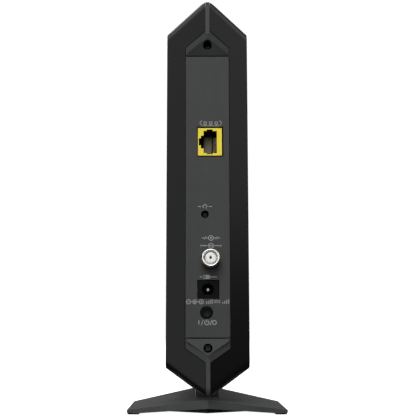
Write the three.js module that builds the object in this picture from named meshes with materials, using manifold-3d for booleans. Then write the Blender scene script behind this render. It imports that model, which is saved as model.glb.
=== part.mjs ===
// Upright cable modem on a winged stand, as an assembly of separate solid pieces.
// Millimetres, +Z up, +Y to the rear (the connector side), +X to the modem's own left.
// The pieces are drawn about the middle of the stand, with the floor at z = 0; the
// finished group is moved so that the origin is at the middle of the overall box.
// The body is a hexagonal prism along Y whose rear and front are bowed to a vertical
// keel.  Two glossy side shells close on a matt centre frame, which shows as a thin
// strip along the keel and opens into a Y around the port panel.
import * as THREE from 'three';
import { mergeVertices } from 'three/addons/utils/BufferGeometryUtils.js';
import Module from 'manifold-3d';

const wasm = await Module();
wasm.setup();

// ---------------------------------------------------------------- dimensions
// Heights are measured from the body's centre unless they are said to be from the floor.
const BODY_Z = 117.4;         // height of the body's centre above the floor
const HALF_WIDTH = 22.25;     // half width of the body across the side shells
const PEAK_TOP = 107.95;      // centre to the virtual peak of the top slopes
const PEAK_BOTTOM = 106.6;    // centre to the virtual peak of the bottom slopes
const FLAT = 105.1;           // centre to the flats that cut the peaks
const SLOPE = 0.6652;         // rise of the slopes per mm of width
const KEEL_Y = 62.7;          // virtual keel line of the bowed faces
const CORNER_Y = 47.15;       // outer vertical edge of the bowed faces
const BOW = (KEEL_Y - CORNER_Y) / HALF_WIDTH;
const EDGE_R_TOP = 8.0;       // rounding between the bowed faces and the top slopes
const EDGE_R_BOTTOM = 7.0;    // the same at the bottom slopes
const WALL = 2.2;             // side shell wall
const WALL_INSIDE_X = HALF_WIDTH - WALL;
const ROOT_X = HALF_WIDTH - 1; // depth to which inner features sink into the side wall
const SPLIT_X = 1.2;          // side shells start this far from the centre
const GAP = 0.3;              // gap between fixed neighbours

const RIM_X = 1.1;            // half thickness of the centre frame's rim
const FLANGE_X = 2.0;         // half thickness of the flange inside the rim
const FRAME_KEEL_Y = 62.1;    // keel line of the centre frame
const PANEL_Y = 56.5;         // outer face of the port panel and the front fascia
const PANEL_THICK = 2.3;
const PANEL_X = 11.6;         // half width of the panels
const SEAM_Z = 76.15;         // seam between panel and wedge
const SEAM_GAP = 0.55;        // joint between panel and wedge
const ARM_X = 11.7;           // outer corner of the frame's arms
const ARM_Y = 54.67;
const ARM_Z = 81.15;
const ARM_TOP = 88.2;         // where the arms join the keel strip
const WEDGE_Z = 84.6;         // tip of the wedge face
const WEDGE_RISE = 5.6;       // how far the wedge tip stands out from the panel face
const WEDGE_CORNER = { x: 10.7, z: 77.6 };

// circuit board: an upright sheet, parts on its -X side
const BOARD = { x0: 5.5, x1: 7.1, y0: -47, y1: 53.2, z0: -71, z1: 66 };
const MOUNT_X = BOARD.x0 - 0.1;                       // side of the parts next to the board
const BOARD_SCREWS = [[-30, 57], [-34, -60], [34, 8]]; // y, z
const REAR_SCREW_Z = 81.0;                            // above and below the centre
const LED_Z = [0, 1, 2, 3, 4].map(i => 46 - 13 * i);

// connectors and controls on the port panel
const ETHERNET = { x0: -7.74, x1: 5.15, z0: 20.7, z1: 35.75 };
const COAX = { x: -1.4, z: -34.8, radius: 9.53 / 2, tipY: 66.1 };
const POWER = { x0: -5.75, x1: 5.2, z0: -55.3, z1: -46.1, boreX: -0.1, boreZ: -50.85, boreR: 2.95 };
const BUTTON = { x: 0.7, z: -62.7, radius: 3.0 };
const RESET = { x: 1.45, z: -11.1, holeR: 4.15 / 2 };

// stand, heights from the floor
const STAND = {
  halfWidth: 44.0,            // over the wing ends
  middleY: 55.2,              // half depth at the middle
  endY: 27.7,                 // half depth at the wing ends
  roofZ: 10.3,                // roof line at the middle
  endZ: 2.45,                 // roof at the wing ends
  archZ: 5.66,                // arched lower edge at the middle
  archFall: 0.122,            // fall of the arch per mm of width
  archX: 37.2,                // half width of the arch
};
const FOOT_THICK = 0.9;
const TAB = { x0: 2.6, x1: 4.6, y0: 14, y1: 24, z0: 11, z1: 20.5 }; // stand tabs, one of four

const SIGNS = [1, -1];        // for features mirrored to both sides of a middle plane

// ----------------------------------------------------------------- materials
const FINISH = {
  leftShell: { color: 0x17181a, roughness: 0.35 },
  rightShell: { color: 0x131416, roughness: 0.35 },
  frame: { color: 0x3b3c3e, roughness: 0.6 },
  portPanel: { color: 0x46474a, roughness: 0.7 },
  fascia: { color: 0x0c0d0f, roughness: 0.2 },
  lightPipe: { color: 0xd8dee2, roughness: 0.2 },
  led: { color: 0xf2efe0, roughness: 0.4 },
  board: { color: 0x1d5b34, roughness: 0.55 },
  boardScrew: { color: 0xb8bcc0, roughness: 0.35, metalness: 1 },
  rearScrew: { color: 0x2a2b2d, roughness: 0.4, metalness: 1 },
  ethernetHousing: { color: 0xf5e13c, roughness: 0.45 },
  ethernetInsert: { color: 0x151516, roughness: 0.5 },
  ethernetContacts: { color: 0xd9b45a, roughness: 0.3, metalness: 1 },
  transformer: { color: 0x1b1b1d, roughness: 0.5 },
  coaxBody: { color: 0xc9cacb, roughness: 0.25, metalness: 1 },
  coaxInsulator: { color: 0xe9e6da, roughness: 0.5 },
  coaxContact: { color: 0xd8b668, roughness: 0.3, metalness: 1 },
  powerHousing: { color: 0x141415, roughness: 0.45 },
  powerPin: { color: 0xcfcac0, roughness: 0.3, metalness: 1 },
  powerLeaf: { color: 0xc9b06a, roughness: 0.3, metalness: 1 },
  switchBody: { color: 0x232427, roughness: 0.5 },
  switchPlunger: { color: 0xdedede, roughness: 0.5 },
  buttonCap: { color: 0x1f2022, roughness: 0.5 },
  resetBody: { color: 0x2a2b2d, roughness: 0.5 },
  resetPlunger: { color: 0x101012, roughness: 0.5 },
  shieldFence: { color: 0xbfc3c6, roughness: 0.35, metalness: 1 },
  shieldLid: { color: 0xc6cacd, roughness: 0.3, metalness: 1 },
  tunerChip: { color: 0x17171a, roughness: 0.5 },
  chip: { color: 0x1a1a1d, roughness: 0.5 },
  thermalPad: { color: 0xa9b7c4, roughness: 0.9 },
  heatSink: { color: 0x8e9296, roughness: 0.45, metalness: 1 },
  crystal: { color: 0xc9ccd0, roughness: 0.3, metalness: 1 },
  capacitor: { color: 0x20242e, roughness: 0.4 },
  inductor: { color: 0x3a3a3c, roughness: 0.7 },
  stand: { color: 0x444648, roughness: 0.65 },
  foot: { color: 0x2c2d2f, roughness: 0.9 },
};

// ------------------------------------------------------------------- solids
// a closed three.js geometry as a Manifold, with its faces turned outwards
function solid(source) {
  const bare = new THREE.BufferGeometry();
  bare.setAttribute('position', source.attributes.position);
  bare.setIndex(source.index);
  const merged = mergeVertices(bare, 1e-4);
  const positions = merged.attributes.position.array;
  const index = merged.index.array;
  const corner = k => new THREE.Vector3().fromArray(positions, 3 * k);
  const triangles = [];
  let volume = 0;
  for (let i = 0; i < index.length; i += 3) {
    const [a, b, c] = index.slice(i, i + 3);
    if (a === b || b === c || c === a) continue;
    triangles.push([a, b, c]);
    volume += corner(a).dot(corner(b).cross(corner(c)));
  }
  const outward = volume < 0 ? triangles.map(([a, b, c]) => [a, c, b]) : triangles;
  return new wasm.Manifold(new wasm.Mesh({
    numProp: 3,
    vertProperties: positions,
    triVerts: new Uint32Array(outward.flat()),
  }));
}
const join = list => list.reduce((a, b) => a.add(b));
const cut = (body, tools) => tools.reduce((a, b) => a.subtract(b), body);

// box with heights from the floor; the ends of each range may come in either order
function box(x0, x1, y0, y1, z0, z1) {
  const g = new THREE.BoxGeometry(Math.abs(x1 - x0), Math.abs(y1 - y0), Math.abs(z1 - z0));
  g.translate((x0 + x1) / 2, (y0 + y1) / 2, (z0 + z1) / 2);
  return solid(g);
}
// box with heights from the body's centre
const bodyBox = (x0, x1, y0, y1, z0, z1) => box(x0, x1, y0, y1, BODY_Z + z0, BODY_Z + z1);
// outline points [x or y, z], moved from the body's centre to the floor frame
const raise = points => points.map(([a, z]) => [a, BODY_Z + z]);

function extrude(points, depth) {
  const shape = new THREE.Shape(points.map(([a, b]) => new THREE.Vector2(a, b)));
  return new THREE.ExtrudeGeometry(shape, { depth, bevelEnabled: false });
}
// outline (x, z from the floor) swept along Y; y0 and y1 may come in either order
function prismY(points, y0, y1) {
  const g = extrude(points, Math.abs(y1 - y0));
  g.rotateX(Math.PI / 2);
  g.translate(0, Math.max(y0, y1), 0);
  return solid(g);
}
// outline (y, z from the body's centre) swept along X
function prismX(points, x0, x1) {
  const g = extrude(raise(points), x1 - x0);
  const [X, Y, Z] = [[1, 0, 0], [0, 1, 0], [0, 0, 1]].map(v => new THREE.Vector3(...v));
  g.applyMatrix4(new THREE.Matrix4().makeBasis(Y, Z, X));
  g.translate(x0, 0, 0);
  return solid(g);
}
// outline (x, y) swept along Z, heights from the floor
function prismZ(points, z0, z1) {
  const g = extrude(points, z1 - z0);
  g.translate(0, 0, z0);
  return solid(g);
}
function cylinderY(x, z, radius, y0, y1, segments) {
  const g = new THREE.CylinderGeometry(radius, radius, y1 - y0, segments);
  g.translate(x, (y0 + y1) / 2, BODY_Z + z);
  return solid(g);
}
function cylinderX(y, z, radius, x0, x1, segments) {
  const g = new THREE.CylinderGeometry(radius, radius, x1 - x0, segments);
  g.rotateZ(Math.PI / 2);
  g.translate((x0 + x1) / 2, y, BODY_Z + z);
  return solid(g);
}
// profile [radius, y] turned about the Y direction through (x, z)
function turnedY(profile, x, z, segments) {
  const g = new THREE.LatheGeometry(profile.map(([r, y]) => new THREE.Vector2(r, y)), segments);
  g.translate(x, 0, BODY_Z + z);
  return solid(g);
}
// everything beyond the plane through a point, as far as the body reaches
function beyond(normal, point) {
  const g = new THREE.BoxGeometry(160, 160, 60);
  g.translate(0, 0, 30);
  g.applyQuaternion(new THREE.Quaternion().setFromUnitVectors(new THREE.Vector3(0, 0, 1), normal));
  g.translate(point.x, point.y, point.z);
  return solid(g);
}

function roundRect(a0, a1, b0, b1, radius, steps) {
  const lowA = Math.min(a0, a1) + radius, highA = Math.max(a0, a1) - radius;
  const lowB = Math.min(b0, b1) + radius, highB = Math.max(b0, b1) - radius;
  const centres = [[highA, highB], [lowA, highB], [lowA, lowB], [highA, lowB]];
  return centres.flatMap(([a, b], quarter) => Array.from({ length: steps + 1 }, (_, i) => {
    const angle = (Math.PI / 2) * (quarter + i / steps);
    return [a + radius * Math.cos(angle), b + radius * Math.sin(angle)];
  }));
}
// hexagon with two upright sides and a peak at each end, moved inwards by inset
function hexagon(halfWidth, sideEnd, peak, inset = 0) {
  const rise = (peak - sideEnd) / halfWidth;
  const w = halfWidth - inset;
  const tip = peak - inset * Math.hypot(1, rise);
  const side = tip - rise * w;
  return [[w, -side], [w, side], [0, tip], [-w, side], [-w, -side], [0, -tip]];
}

// --------------------------------------------------- outer form of the body
function bodyOutline(inset) {
  const w = HALF_WIDTH - inset;
  const flat = FLAT - inset;
  const top = PEAK_TOP - inset * Math.hypot(1, SLOPE);
  const bottom = PEAK_BOTTOM - inset * Math.hypot(1, SLOPE);
  const sideTop = top - SLOPE * w, sideBottom = bottom - SLOPE * w;
  const flatTopX = (top - flat) / SLOPE, flatBottomX = (bottom - flat) / SLOPE;
  return [
    [w, -sideBottom], [w, sideTop], [flatTopX, flat], [-flatTopX, flat],
    [-w, sideTop], [-w, -sideBottom], [-flatBottomX, -flat], [flatBottomX, -flat],
  ];
}
// Tangent planes of the rounded edges between the bowed faces and the slopes:
// the unit normal, and the point where the outer surface touches the plane.
function edgePlanes(steps) {
  const planes = [];
  for (const signX of SIGNS) for (const signY of SIGNS) for (const signZ of SIGNS) {
    const radius = signZ > 0 ? EDGE_R_TOP : EDGE_R_BOTTOM;
    const bowNormal = new THREE.Vector3(signX * BOW, signY, 0).normalize();
    const slopeNormal = new THREE.Vector3(signX * SLOPE, 0, signZ).normalize();
    const turn = bowNormal.angleTo(slopeNormal);
    const peak = signZ > 0 ? PEAK_TOP : -PEAK_BOTTOM;
    const centre = new THREE.Vector3(0, signY * KEEL_Y, BODY_Z + peak).addScaledVector(
      bowNormal.clone().add(slopeNormal).normalize(), -radius / Math.cos(turn / 2));
    for (let i = 0; i < steps; i++) {
      const t = (i + 0.5) / steps;
      const normal = bowNormal.clone().multiplyScalar(Math.sin((1 - t) * turn))
        .addScaledVector(slopeNormal, Math.sin(t * turn)).normalize();
      planes.push({ normal, touch: centre.clone().addScaledVector(normal, radius), signX });
    }
  }
  return planes;
}
// The same rounding for a flat piece in the middle: the outline the shells
// have at distance x from the centre, moved outwards.
function middleRounds(x, outwards, steps) {
  return edgePlanes(steps).filter(({ signX }) => signX > 0).map(({ normal, touch }) => {
    const flatNormal = new THREE.Vector3(0, normal.y, normal.z);
    const length = flatNormal.length();
    flatNormal.divideScalar(length);
    const shift = normal.x * (touch.x - x) / length + outwards;
    const point = new THREE.Vector3(0, touch.y, touch.z).addScaledVector(flatNormal, shift);
    return beyond(flatNormal, point);
  });
}
function bodyForm(inset, steps) {
  const bowed = prismZ(hexagon(HALF_WIDTH, CORNER_Y, KEEL_Y, inset), 0, 240);
  const rounds = edgePlanes(steps).map(({ normal, touch }) =>
    beyond(normal, touch.clone().addScaledVector(normal, -inset)));
  return cut(prismY(raise(bodyOutline(inset)), -80, 80).intersect(bowed), rounds);
}

// ----------------------------------------------------------- side shells
// hexagonal opening for the arms and the panel, rear or front
function panelOpening(y0, y1) {
  const tip = ARM_TOP + SLOPE * RIM_X + GAP * 1.2;
  const w = ARM_X + GAP;
  return prismY(raise(hexagon(w, tip - SLOPE * w, tip)), y0, y1);
}
const hollowBody = bodyForm(0, 7).subtract(bodyForm(WALL, 3));
const panelOpenings = [panelOpening(40, 75), panelOpening(-75, -40)];

function ventCuts(signX) {
  const cuts = [];
  const tilt = Math.atan(SLOPE);
  // chevron louvres above and below the middle of the side wall
  const louvre = { count: 7, firstZ: 30, pitch: 6.2, y: 13.0, length: 24, width: 2.0 };
  for (let i = 0; i < louvre.count; i++) {
    const z = louvre.firstZ + i * louvre.pitch - louvre.y * SLOPE * 0.5;
    for (const signZ of SIGNS) for (const signY of SIGNS) {
      const g = new THREE.BoxGeometry(8, louvre.length, louvre.width);
      g.rotateX(-signY * signZ * tilt * 0.55);
      g.translate(signX * HALF_WIDTH, signY * louvre.y, BODY_Z + signZ * z);
      cuts.push(solid(g));
    }
  }
  // eleven slots across the top slope; only the two end ones across the bottom slope
  const slot = { x: 12.2, pitch: 6.6, length: 11, width: 2.0 };
  for (const signZ of SIGNS) {
    const peak = signZ > 0 ? PEAK_TOP : PEAK_BOTTOM;
    for (let i = -5; i <= 5; i += signZ > 0 ? 1 : 10) {
      const g = new THREE.BoxGeometry(slot.length, slot.width, 8);
      g.rotateY(signX * signZ * tilt);
      g.translate(signX * slot.x, i * slot.pitch, BODY_Z + signZ * (peak - SLOPE * slot.x));
      cuts.push(solid(g));
    }
  }
  return cuts;
}
// slots in the underside for the stand's tabs
function tabSlots(signX) {
  const playX = 0.4, playY = 0.7;
  return SIGNS.map(signY => box(
    signX * (TAB.x0 - playX), signX * (TAB.x1 + playX),
    signY * (TAB.y0 - playY), signY * (TAB.y1 + playY), 5, 19.9));
}
function shellBase(signX) {
  const half = box(signX * SPLIT_X, signX * 40, -90, 90, -5, 260);
  const skin = cut(hollowBody.intersect(half), panelOpenings);
  // stiffening ribs inside the side wall
  const ribs = [-10, 12].map(z => bodyBox(
    signX * (WALL_INSIDE_X - 1.6), signX * (WALL_INSIDE_X + 0.5), -40, 40, z - 0.7, z + 0.7));
  return cut(join([skin, ...ribs]), [...ventCuts(signX), ...tabSlots(signX)]);
}
// the left shell carries the board bosses and the posts of the rear screws, with webs
function leftShell() {
  const added = [];
  const holes = [];
  for (const [y, z] of BOARD_SCREWS) {
    added.push(cylinderX(y, z, 3.1, BOARD.x1 + GAP, ROOT_X, 20));
    added.push(bodyBox(BOARD.x1 + 4, ROOT_X, y - 0.7, y + 0.7, z - 6, z + 6));
    holes.push(cylinderX(y, z, 1.2, BOARD.x1 - 1, BOARD.x1 + 10, 16));
  }
  for (const signZ of SIGNS) {
    const z = signZ * REAR_SCREW_Z;
    added.push(cylinderY(0, z, 3.6, 35, 47.1, 22));
    added.push(bodyBox(0, ROOT_X, 36.5, 45.5, z - 1.2, z + 1.2));
    holes.push(cylinderY(0, z, 1.3, 37.5, 48, 16));
  }
  return cut(join([shellBase(1), ...added]), holes);
}
// the right shell has a ledge near the rear and near the front, at both screw heights
function rightShell() {
  const ledges = SIGNS.flatMap(signZ => {
    const z = signZ * REAR_SCREW_Z;
    return [[36.5, 45.5], [-45, -36]].map(([y0, y1]) =>
      bodyBox(-ROOT_X, -14, y0, y1, z - 1.0, z + 1.0));
  });
  return join([shellBase(-1), ...ledges]);
}

// ----------------------------------------------------------- centre frame
// one end of the frame's Y: arms that follow the bow of the shells, with a
// sloping wedge face between them and the panel
function wedgeBlock(signY, signZ) {
  const place = points => raise(points.map(([x, z]) => [x, signZ * z]));
  const outline = place([
    [ARM_X, SEAM_Z], [ARM_X, ARM_Z], [RIM_X, ARM_TOP],
    [-RIM_X, ARM_TOP], [-ARM_X, ARM_Z], [-ARM_X, SEAM_Z],
  ]);
  const planX = 20;
  const planY = FRAME_KEEL_Y - planX * (FRAME_KEEL_Y - ARM_Y) / ARM_X;
  const plan = [[planX, 40], [planX, planY], [0, FRAME_KEEL_Y], [-planX, planY], [-planX, 40]];
  const arms = prismY(outline, signY * 47.5, signY * 80)
    .intersect(prismZ(plan.map(([x, y]) => [x, signY * y]), 0, 240));
  const baseX = ARM_X - 0.12;
  const faceZone = baseZ => prismY(place([
    [baseX, baseZ], [WEDGE_CORNER.x, WEDGE_CORNER.z], [0, WEDGE_Z],
    [-WEDGE_CORNER.x, WEDGE_CORNER.z], [-baseX, baseZ],
  ]), signY * 47.6, signY * 80);
  const normal = new THREE.Vector3(0, signY * (WEDGE_Z - SEAM_Z), -signZ * WEDGE_RISE).normalize();
  const outside = beyond(normal, new THREE.Vector3(0, signY * PANEL_Y, BODY_Z + signZ * SEAM_Z));
  return arms.subtract(faceZone(SEAM_Z - 0.5).intersect(outside))
    .add(faceZone(SEAM_Z).subtract(outside));
}
// the rim shows between the shells; its wider flange closes the joint from inside
function frameRing() {
  const rim = cut(bodyBox(-RIM_X, RIM_X, -FRAME_KEEL_Y, FRAME_KEEL_Y, -FLAT, FLAT),
    middleRounds(SPLIT_X, 0.2, 7));
  const flange = cut(bodyBox(-FLANGE_X, FLANGE_X, -58.2, 58.2, -102.2, 102.2),
    middleRounds(FLANGE_X, -WALL * 1.3 - 0.4, 3));
  return cut(rim.add(flange), [
    bodyBox(-5, 5, -54.5, 54.5, -97.4, 97.4),
    bodyBox(-5, 5, 40, 80, -86.5, 86.5),
    bodyBox(-5, 5, -80, -40, -86.5, 86.5),
  ]);
}
function centreFrame() {
  const parts = [frameRing()];
  for (const signY of SIGNS) for (const signZ of SIGNS) parts.push(wedgeBlock(signY, signZ));
  for (const signX of SIGNS) for (const signY of SIGNS) {
    // rail along the edge of the panel
    parts.push(bodyBox(signX * 9.5, signX * 11.3, signY * 50.2, signY * 53.9, -78, 78));
    // lip that laps behind the edge of the shell and closes the joint
    parts.push(bodyBox(signX * 9.5, signX * 13.0, signY * 48.9, signY * 50.4, -78, 78));
  }
  const holes = [];
  for (const signZ of SIGNS) {
    // counterbore and clearance hole of the rear screw
    holes.push(cylinderY(0, signZ * REAR_SCREW_Z, 2.4, 52, 75, 28));
    holes.push(cylinderY(0, signZ * REAR_SCREW_Z, 1.5, 45, 53, 20));
    // pockets that keep the moulding's walls even
    for (const signX of SIGNS) for (const signY of SIGNS) {
      holes.push(bodyBox(
        signX * 4.4, signX * 9.2, signY * 40, signY * 53.6, signZ * 77.8, signZ * 81.6));
    }
  }
  return cut(join(parts), holes);
}

// ------------------------------------------------- port panel, front fascia
function panelBlank(signY) {
  const halfHeight = SEAM_Z - SEAM_GAP;
  return bodyBox(-PANEL_X, PANEL_X, signY * (PANEL_Y - PANEL_THICK), signY * PANEL_Y,
    -halfHeight, halfHeight);
}
function portPanel() {
  const e = ETHERNET, p = POWER;
  return cut(panelBlank(1), [
    bodyBox(e.x0 - 0.7, e.x1 + 0.55, 50, 60, e.z0 - 0.7, e.z1 + 0.7),
    cylinderY(RESET.x, RESET.z, RESET.holeR, 50, 60, 28),
    cylinderY(COAX.x, COAX.z, COAX.radius + 0.35, 50, 60, 36),
    bodyBox(p.x0 - 0.3, p.x1 + 0.35, 50, 60, p.z0 - 0.3, p.z1 + 0.3),
    cylinderY(BUTTON.x, BUTTON.z, BUTTON.radius + 0.35, 50, 60, 32),
  ]);
}
const frontFascia = () => cut(panelBlank(-1), LED_Z.map(z => cylinderY(0, z, 2.1, -60, -50, 24)));
// a bar behind the fascia, with a round light window in each of its holes
const lightPipe = () => join([
  bodyBox(-1.8, 5.2, -50.4, -48.6, LED_Z.at(-1) - 3, LED_Z[0] + 3),
  ...LED_Z.map(z => cylinderY(0, z, 1.8, -56.3, -50, 24)),
]);
const statusLed = z => bodyBox(4.2, MOUNT_X, -48.2, -46.2, z - 1.5, z + 1.5);

// -------------------------------------------------- circuit board and screws
const circuitBoard = () => cut(
  bodyBox(BOARD.x0, BOARD.x1, BOARD.y0, BOARD.y1, BOARD.z0, BOARD.z1),
  BOARD_SCREWS.map(([y, z]) => cylinderX(y, z, 1.6, BOARD.x0 - 1, BOARD.x1 + 1, 20)));

function boardScrew([y, z]) {
  const head = cylinderX(y, z, 2.5, BOARD.x0 - 2.0, MOUNT_X, 20);
  const shank = cylinderX(y, z, 1.05, BOARD.x0 - 0.5, BOARD.x1 + 8.5, 14);
  const crossArm = (armY, armZ) => bodyBox(
    BOARD.x0 - 3, BOARD.x0 - 1.0, y - armY, y + armY, z - armZ, z + armZ);
  return cut(head.add(shank), [crossArm(1.4, 0.3), crossArm(0.3, 1.4)]);
}
// screw deep in the counterbore of a wedge, head to the rear
function rearScrew(z) {
  const profile = [
    [0, 39], [0.7, 39], [1.15, 40.2], [1.15, 52.1],
    [2.1, 52.1], [2.1, 53.2], [1.5, 54.0], [0, 54.0],
  ];
  const crossArm = (armX, armZ) => bodyBox(-armX, armX, 52.9, 56, z - armZ, z + armZ);
  return cut(turnedY(profile, 0, z, 24), [crossArm(1.3, 0.3), crossArm(0.3, 1.3)]);
}

// ------------------------------------------------------------ ethernet jack
// boxes as x0, x1, y0, y1, z0, z1
const PLUG_CAVITY = [-5.0, 2.03, 43.2, 60, 22.08, 34.15];
const LATCH_RECESS = [2.0, 3.48, 44.0, 60, 24.59, 31.56];
const INSERT = { x0: -7.0, x1: 4.45, z0: 21.45, z1: 35.0 };

function ethernetHousing() {
  const e = ETHERNET, i = INSERT;
  return cut(bodyBox(e.x0, e.x1, 40.3, 56.3, e.z0, e.z1), [
    bodyBox(i.x0 - GAP, i.x1 + GAP, 39, 55.0, i.z0 - GAP, i.z1 + GAP),
    bodyBox(...PLUG_CAVITY),
    bodyBox(-2.77, 0.36, 54.2, 60, 21.4, 34.95),
    bodyBox(...LATCH_RECESS),
    bodyBox(3.4, 4.69, 46.0, 60, 26.29, 30.08),
  ]);
}
function ethernetInsert() {
  return cut(bodyBox(INSERT.x0, INSERT.x1, 41.0, 54.7, INSERT.z0, INSERT.z1), [
    bodyBox(...PLUG_CAVITY),
    bodyBox(-2.77, 0.36, 54.0, 60, 21.3, 35.1),
    bodyBox(...LATCH_RECESS),
    bodyBox(3.4, 4.1, 46.0, 60, 26.29, 30.08),
    bodyBox(-6.65, PLUG_CAVITY[0] + 0.1, 43.2, 55.1, 23.75, 32.45), // contact pocket
  ]);
}
// eight bent wires and the strip that carries them
function ethernetContacts() {
  const bentWire = [ // x, y
    [-5.95, 54.35], [-6.25, 54.05], [-6.1, 53.7], [-3.05, 47.15],
    [-3.45, 45.9], [-3.1, 45.8], [-2.65, 47.2], [-5.75, 53.95],
  ];
  const count = 8, pitch = 1.02, halfThick = 0.23;
  const parts = [];
  for (let i = 0; i < count; i++) {
    const z = BODY_Z + 28.1 + (i - (count - 1) / 2) * pitch;
    parts.push(prismZ(bentWire, z - halfThick, z + halfThick));
  }
  parts.push(bodyBox(-6.35, -5.85, 53.55, 54.35, 24.15, 32.05));
  return join(parts);
}
const transformer = () => prismX(roundRect(22.5, 37.5, 21.5, 35, 0.6, 2), -1.2, MOUNT_X);

// ---------------------------------------------------------- coax connector
// mounting block, and a barrel with thread ridges whose bore ends at the block
function coaxBody() {
  const { x, z, radius, tipY } = COAX;
  const thread = { startY: 57.2, pitch: 1.3, depth: 0.42, count: 6 };
  const profile = [[0, 50.5], [radius, 50.5], [radius, 57.0]];
  for (let i = 0; i < thread.count; i++) {
    const y = thread.startY + i * thread.pitch;
    const root = radius - thread.depth;
    profile.push([radius, y + 0.2], [root, y + 0.6], [root, y + 0.9], [radius, y + 1.25]);
  }
  profile.push([radius, tipY - 0.95], [radius - 0.45, tipY], [3.9, tipY], [3.25, tipY - 0.55],
    [3.25, 56.0], [1.25, 56.0], [1.25, 53.0], [0, 53.0]);
  const block = prismX(roundRect(38.5, 52.4, z - 6.4, z + 6.4, 0.5, 2), -7.9, BOARD.x0 - 0.2);
  const contactHole = cylinderY(x, z, 1.25, 41, 56.5, 20);
  return cut(block.add(turnedY(profile, x, z, 28)), [contactHole]);
}
function coaxInsulator() {
  const faceY = COAX.tipY - 0.75;
  const stepY = COAX.tipY - 1.6;
  const profile = [
    [1.15, 56.2], [3.12, 56.2], [3.12, faceY], [0.68, faceY],
    [0.68, stepY], [1.15, stepY], [1.15, 56.2],
  ];
  return turnedY(profile, COAX.x, COAX.z, 32);
}
function coaxContact() {
  const endY = COAX.tipY - 1.9;
  const profile = [[0, 42], [0.9, 42], [0.9, endY], [0.5, endY], [0.5, 56], [0, 56]];
  return turnedY(profile, COAX.x, COAX.z, 20);
}

// ------------------------------------------------------------- power jack
function powerHousing() {
  const { x0, x1, z0, z1, boreX: x, boreZ: z, boreR } = POWER;
  return cut(bodyBox(x0, x1, 42.3, 55.9, z0, z1), [
    cylinderY(x, z, boreR, 46.2, 60, 32),
    cylinderY(x, z, boreR + 0.45, 55.4, 60, 32),
    cylinderY(x, z, 1.15, 41, 47, 20),
    bodyBox(x - 1.3, x + 1.3, 44.4, 54.9, z - 4.05, z - 1.5), // slot for the leaf
  ]);
}
function powerPin() {
  const profile = [[0, 43], [1.05, 43], [1.05, 54.0], [0.7, 54.6], [0, 54.6]];
  return turnedY(profile, POWER.boreX, POWER.boreZ, 24);
}
// bent leaf contact in the slot under the bore
function powerLeaf() {
  const { boreX: x, boreZ: z } = POWER;
  return prismX([
    [45.0, z - 3.75], [53.9, z - 3.45], [54.2, z - 3.15],
    [51.6, z - 2.45], [49.3, z - 3.0], [45.0, z - 3.4],
  ], x - 1.0, x + 1.0);
}

// ------------------------------------------- power button and reset switch
// square bar on the button's axis
const buttonBar = (half, y0, y1) => bodyBox(
  BUTTON.x - half, BUTTON.x + half, y0, y1, BUTTON.z - half, BUTTON.z + half);

function switchBody() {
  const { x, z } = BUTTON;
  return prismX(roundRect(33.0, 46.2, z - 4.2, z + 4.2, 0.4, 2), x - 4.4, MOUNT_X)
    .subtract(buttonBar(1.75, 36.6, 50));
}
function buttonCap() {
  const { x, z, radius } = BUTTON;
  const flange = radius + 1.1;
  const profile = [
    [0, 49.6], [flange, 49.6], [flange, 50.8], [radius, 50.8],
    [radius, 56.15], [radius - 0.3, 56.45], [0, 56.45],
  ];
  return turnedY(profile, x, z, 32).subtract(buttonBar(1.7, 48, 52.8));
}
function resetBody() {
  const { x, z } = RESET;
  return prismX(roundRect(45.4, 49.4, z - 3.1, z + 3.1, 0.3, 2), x - 3.1, MOUNT_X)
    .subtract(cylinderY(x, z, 1.75, 46.6, 50, 22));
}
function resetPlunger() {
  const profile = [[0, 47.4], [1.55, 47.4], [1.55, 53.5], [1.3, 53.8], [0, 53.8]];
  return turnedY(profile, RESET.x, RESET.z, 22);
}

// --------------------------------------------------------- parts on the board
const TUNER = { y0: 13, y1: 37, z0: -46, z1: -22 };

// box over the tuner's area, grown by a margin on all four sides
const tunerBox = (x0, x1, margin) => bodyBox(
  x0, x1, TUNER.y0 - margin, TUNER.y1 + margin, TUNER.z0 - margin, TUNER.z1 + margin);
const shieldFence = () => tunerBox(1.6, MOUNT_X, 0).subtract(tunerBox(0, BOARD.x0 + 1, -0.4));
function shieldLid() {
  const lid = tunerBox(0.8, 3.9, 0.6).subtract(tunerBox(1.3, 6, 0.2));
  const first = 4.5, pitch = 5, count = 4;
  const holes = [];
  for (let i = 0; i < count; i++) for (let j = 0; j < count; j++) {
    const y = TUNER.y0 + first + i * pitch;
    const z = TUNER.z0 + first + j * pitch;
    holes.push(cylinderX(y, z, 1.0, 0, 2, 10));
  }
  return cut(lid, holes);
}
// flat package on the board, its face at x
const chip = (x, y0, y1, z0, z1) => bodyBox(x, MOUNT_X, y0, y1, z0, z1);

function heatSink() {
  const parts = [bodyBox(1.2, 3.2, -16, 16, -10, 22)];
  for (let i = 0; i < 9; i++) {
    const y = -16 + i * 3.85;
    parts.push(bodyBox(-10, 1.5, y, y + 1.2, -10, 22));
  }
  return join(parts);
}
const crystal = () => prismX(roundRect(2, 13, 29, 33.6, 2.2, 5), 2.2, MOUNT_X);

// centres, y, z
const CAPACITORS = [[24, -53.5], [13.5, -53.5], [24, -64.5]];
const INDUCTORS = [[1, -53], [1, -64]];
const REGULATORS = [[-10, -53], [-10, -64]];
const capacitor = ([y, z]) => cylinderX(y, z, 4.0, -6.6, MOUNT_X, 24);
const inductor = ([y, z]) => prismX(
  roundRect(y - 3.5, y + 3.5, z - 3.5, z + 3.5, 1.2, 3), 1.4, MOUNT_X);
const regulator = ([y, z]) => chip(3.9, y - 2, y + 2, z - 2.5, z + 2.5);

// ------------------------------------------------------------------- stand
const ROOF_FALL = (STAND.roofZ - STAND.endZ) / STAND.halfWidth;
const standPlan = inset => hexagon(STAND.halfWidth, STAND.endY, STAND.middleY, inset);

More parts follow.
